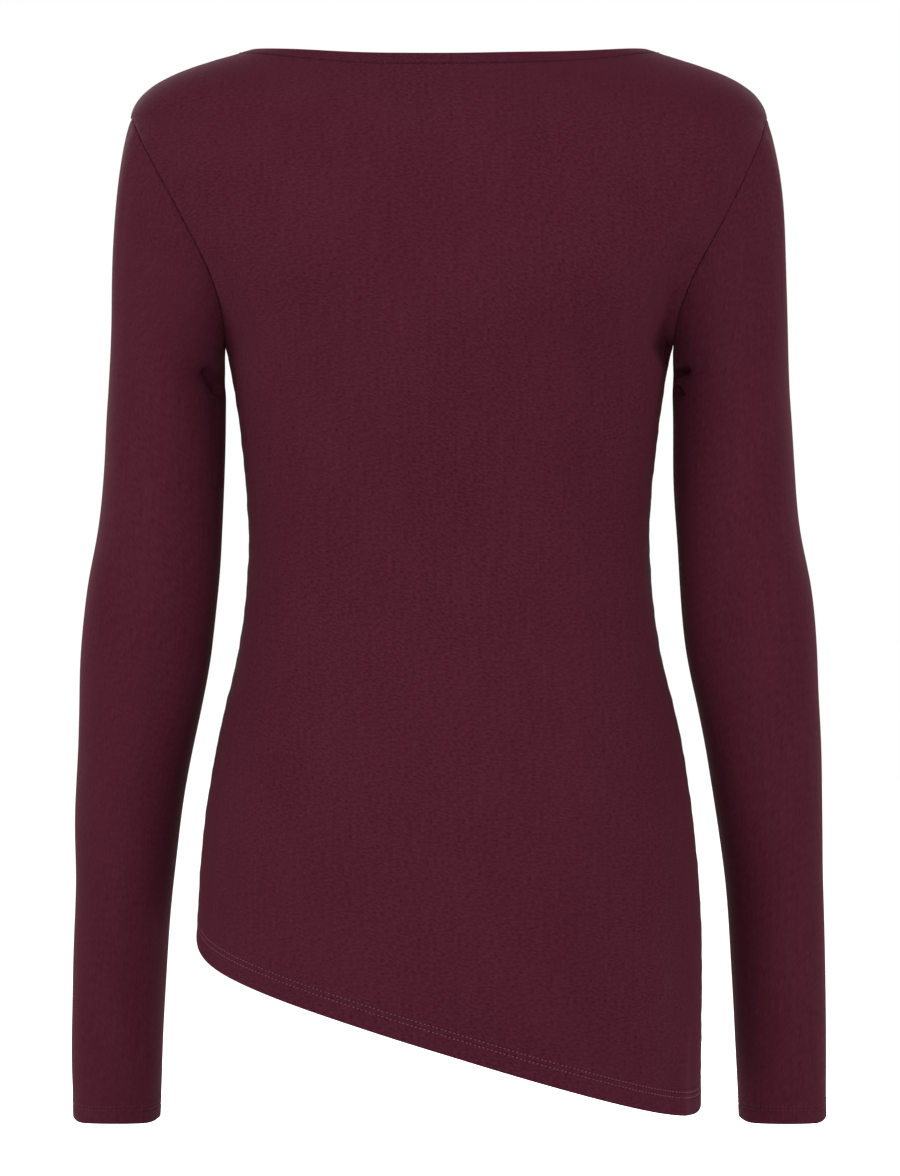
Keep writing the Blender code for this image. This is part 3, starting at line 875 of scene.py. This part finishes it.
def seam_allowance(name, back, front, side, rows, material):
    """The allowance of a side or shoulder seam, from the back's side to the front's."""
    behind = (back.points - back.ways * ALLOWANCE_DEPTH)[rows, :: -side]
    before = (front.points - front.ways * ALLOWANCE_DEPTH)[rows, ::side]
    sections = [along_rows(behind, w) for w in (ALLOWANCE_WIDTH, ALLOWANCE_WIDTH / 2)]
    sections.append((behind[:, 0] + before[:, 0]) / 2)
    sections += [along_rows(before, w) for w in (ALLOWANCE_WIDTH / 2, ALLOWANCE_WIDTH)]
    return allowance(name, sections, False, material)


def armhole_allowance(name, side, panels, sleeve, material):
    """The allowance round an armhole, from the inside of the sleeve to that of the body."""
    angle, behind = sleeve_columns()
    around = np.minimum(angle, 2 * math.pi - angle) / math.pi
    inside = (sleeve.points - sleeve.ways * ALLOWANCE_DEPTH)[:, ::side].swapaxes(0, 1)
    sections = [along_rows(inside, w) for w in (ALLOWANCE_WIDTH, ALLOWANCE_WIDTH / 3)]
    rows = panel_rows()
    rows_here = (rows >= BODY_ROWS) & (rows <= BODY_ROWS + ARMHOLE_ROWS)
    place = (BODY_ROWS + ARMHOLE_ROWS - rows[rows_here]) / ARMHOLE_ROWS
    on_seam, near, far = [], [], []
    for face, columns, turn in (("back", behind, -side), ("front", ~behind, side)):
        seam_line, normal, away, fold = armhole_seam(face, side, around[columns])
        into_sleeve = away * np.sin(fold) - normal * np.cos(fold)
        on_seam.append(seam_line + unit(into_sleeve - normal) * ALLOWANCE_DEPTH)
        panel = (panels[face].points - panels[face].ways * ALLOWANCE_DEPTH)[rows_here, ::turn]
        for found, width in ((near, ALLOWANCE_WIDTH / 3), (far, ALLOWANCE_WIDTH)):
            line = along_rows(panel, width)[::-1]
            read = [np.interp(around[columns], place[::-1], line[:, k]) for k in range(3)]
            found.append(np.stack(read, axis=1))
    sections += [np.concatenate(part) for part in (on_seam, near, far)]
    return allowance(name, sections, True, material)


def stage_and_light():
    """A white floor and background, and large soft lights on both sides."""
    turn = 2 * math.pi * np.arange(FLOOR_SIDES) / FLOOR_SIDES
    rim = together(FLOOR_RADIUS * np.cos(turn), FLOOR_RADIUS * np.sin(turn), FLOOR_HEIGHT)
    material, _, shader = nodes_of("floor")
    shader.inputs["Base Color"].default_value = FLOOR_COLOUR
    shader.inputs["Roughness"].default_value = FLOOR_ROUGHNESS
    shader.inputs["Specular IOR Level"].default_value = 0.0
    shader.inputs["Emission Color"].default_value = WHITE
    shader.inputs["Emission Strength"].default_value = FLOOR_GLOW
    mesh = bpy.data.meshes.new("floor")
    mesh.from_pydata(rim.tolist(), [], [list(range(FLOOR_SIDES))])
    mesh.materials.append(material)
    floor = bpy.data.objects.new("floor", mesh)
    bpy.context.scene.collection.objects.link(floor)
    world = bpy.data.worlds.new("studio")
    world.use_nodes = True
    background = world.node_tree.nodes["Background"]
    background.inputs["Color"].default_value = WHITE
    background.inputs["Strength"].default_value = WORLD_STRENGTH
    bpy.context.scene.world = world
    for light in LIGHTS:
        data = bpy.data.lights.new(light.name, "AREA")
        data.shape = "RECTANGLE"
        data.size, data.size_y = light.size
        data.energy = light.power
        lamp = bpy.data.objects.new(light.name, data)
        lamp.location = light.place
        aim = Vector(AIM) - Vector(light.place)
        lamp.rotation_euler = aim.to_track_quat("-Z", "Y").to_euler()
        bpy.context.scene.collection.objects.link(lamp)
    bpy.context.scene.view_settings.view_transform = "Standard"


def set_camera():
    """A level camera behind the wearer, far off, as the photo is taken."""
    data = bpy.data.cameras.new("camera")
    data.lens = CAMERA_LENS
    camera = bpy.data.objects.new("camera", data)
    camera.location = CAMERA_PLACE
    camera.rotation_euler = (math.radians(90), 0.0, 0.0)
    bpy.context.scene.collection.objects.link(camera)
    bpy.context.scene.camera = camera


for old in [o for o in bpy.data.objects if o.type in ("CAMERA", "LIGHT")]:
    bpy.data.objects.remove(old)
jersey = jersey_material()
# Hem thread with a painted highlight in its colour, neck thread painted near black as shade
hem_thread = thread_material("hem_thread", HEM_THREAD_COLOUR_PAINTED_HIGHLIGHT)
cuff_thread = thread_material("cuff_thread", CUFF_THREAD_COLOUR)
neck_thread = thread_material("neck_thread", NECK_THREAD_COLOUR_PAINTED_SHADE)
panels = {face: build_panel(face, jersey, hem_thread, neck_thread) for face in ("back", "front")}
row_places = panel_rows()
side_rows = (row_places > 0) & (row_places <= BODY_ROWS)
shoulder_rows = (row_places >= BODY_ROWS + ARMHOLE_ROWS) & (row_places < row_places[-1])
side_rows[: round(ALLOWANCE_END / EDGE_STEP)] = False
shoulder_rows[-ALLOWANCE_NECK_ROWS:] = False
for name, side in (("left", -1), ("right", 1)):
    sleeve = build_sleeve(f"{name}_sleeve", side, jersey, cuff_thread)
    sleeve.sewn.append(armhole_allowance(f"{name}_armhole_seam", side, panels, sleeve, jersey))
    for seam_name, rows in (("side", side_rows), ("shoulder", shoulder_rows)):
        made = seam_allowance(
            f"{name}_{seam_name}_seam", panels["back"], panels["front"], side, rows, jersey
        )
        panels["back"].sewn.append(made)
stage_and_light()
set_camera()
